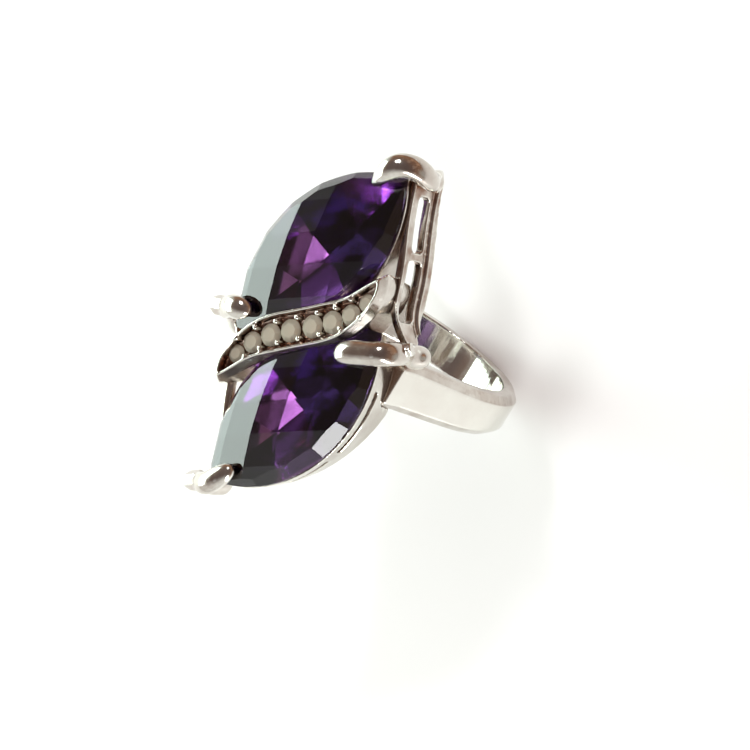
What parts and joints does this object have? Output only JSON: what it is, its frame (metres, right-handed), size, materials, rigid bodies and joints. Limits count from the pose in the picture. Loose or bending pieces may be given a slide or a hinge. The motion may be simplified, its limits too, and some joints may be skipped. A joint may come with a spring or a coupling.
{
  "type": "cocktail ring",
  "caption": "Wide bypass cocktail ring with paired pointed-oval faceted stones held by hooked claws and an S-shaped channel of small round crystals between them.",
  "frame": {"origin": "centre of the finger bore", "axes": "+Y along the finger axis, +Z from the bore centre out through the face that carries the stones, +X across the finger"},
  "size_m": [0.0204, 0.0333, 0.0254],
  "materials": {
    "silver_plate": "bright polished plating with slight cast roughness in the recesses",
    "amethyst_stone": "deep violet, checkerboard cut, polished",
    "clear_crystal": "clear with a faint champagne tone, polished"
  },
  "bodies": {
    "root": {"shank": "silver_plate", "crystal_ribbon": "silver_plate", "upper_setting": "silver_plate", "lower_setting": "silver_plate", "upper_gallery_wall": "silver_plate", "lower_gallery_wall": "silver_plate", "claw_upper_right": "silver_plate", "claw_lower_right": "silver_plate", "claw_lower_left": "silver_plate", "claw_upper_left": "silver_plate", "upper_marquise_stone": "amethyst_stone", "lower_marquise_stone": "amethyst_stone", "crystal_1": "clear_crystal", "crystal_2": "clear_crystal", "crystal_3": "clear_crystal", "crystal_4": "clear_crystal", "crystal_5": "clear_crystal", "crystal_6": "clear_crystal", "crystal_7": "clear_crystal", "crystal_8": "clear_crystal"}
  },
  "joints": []
}
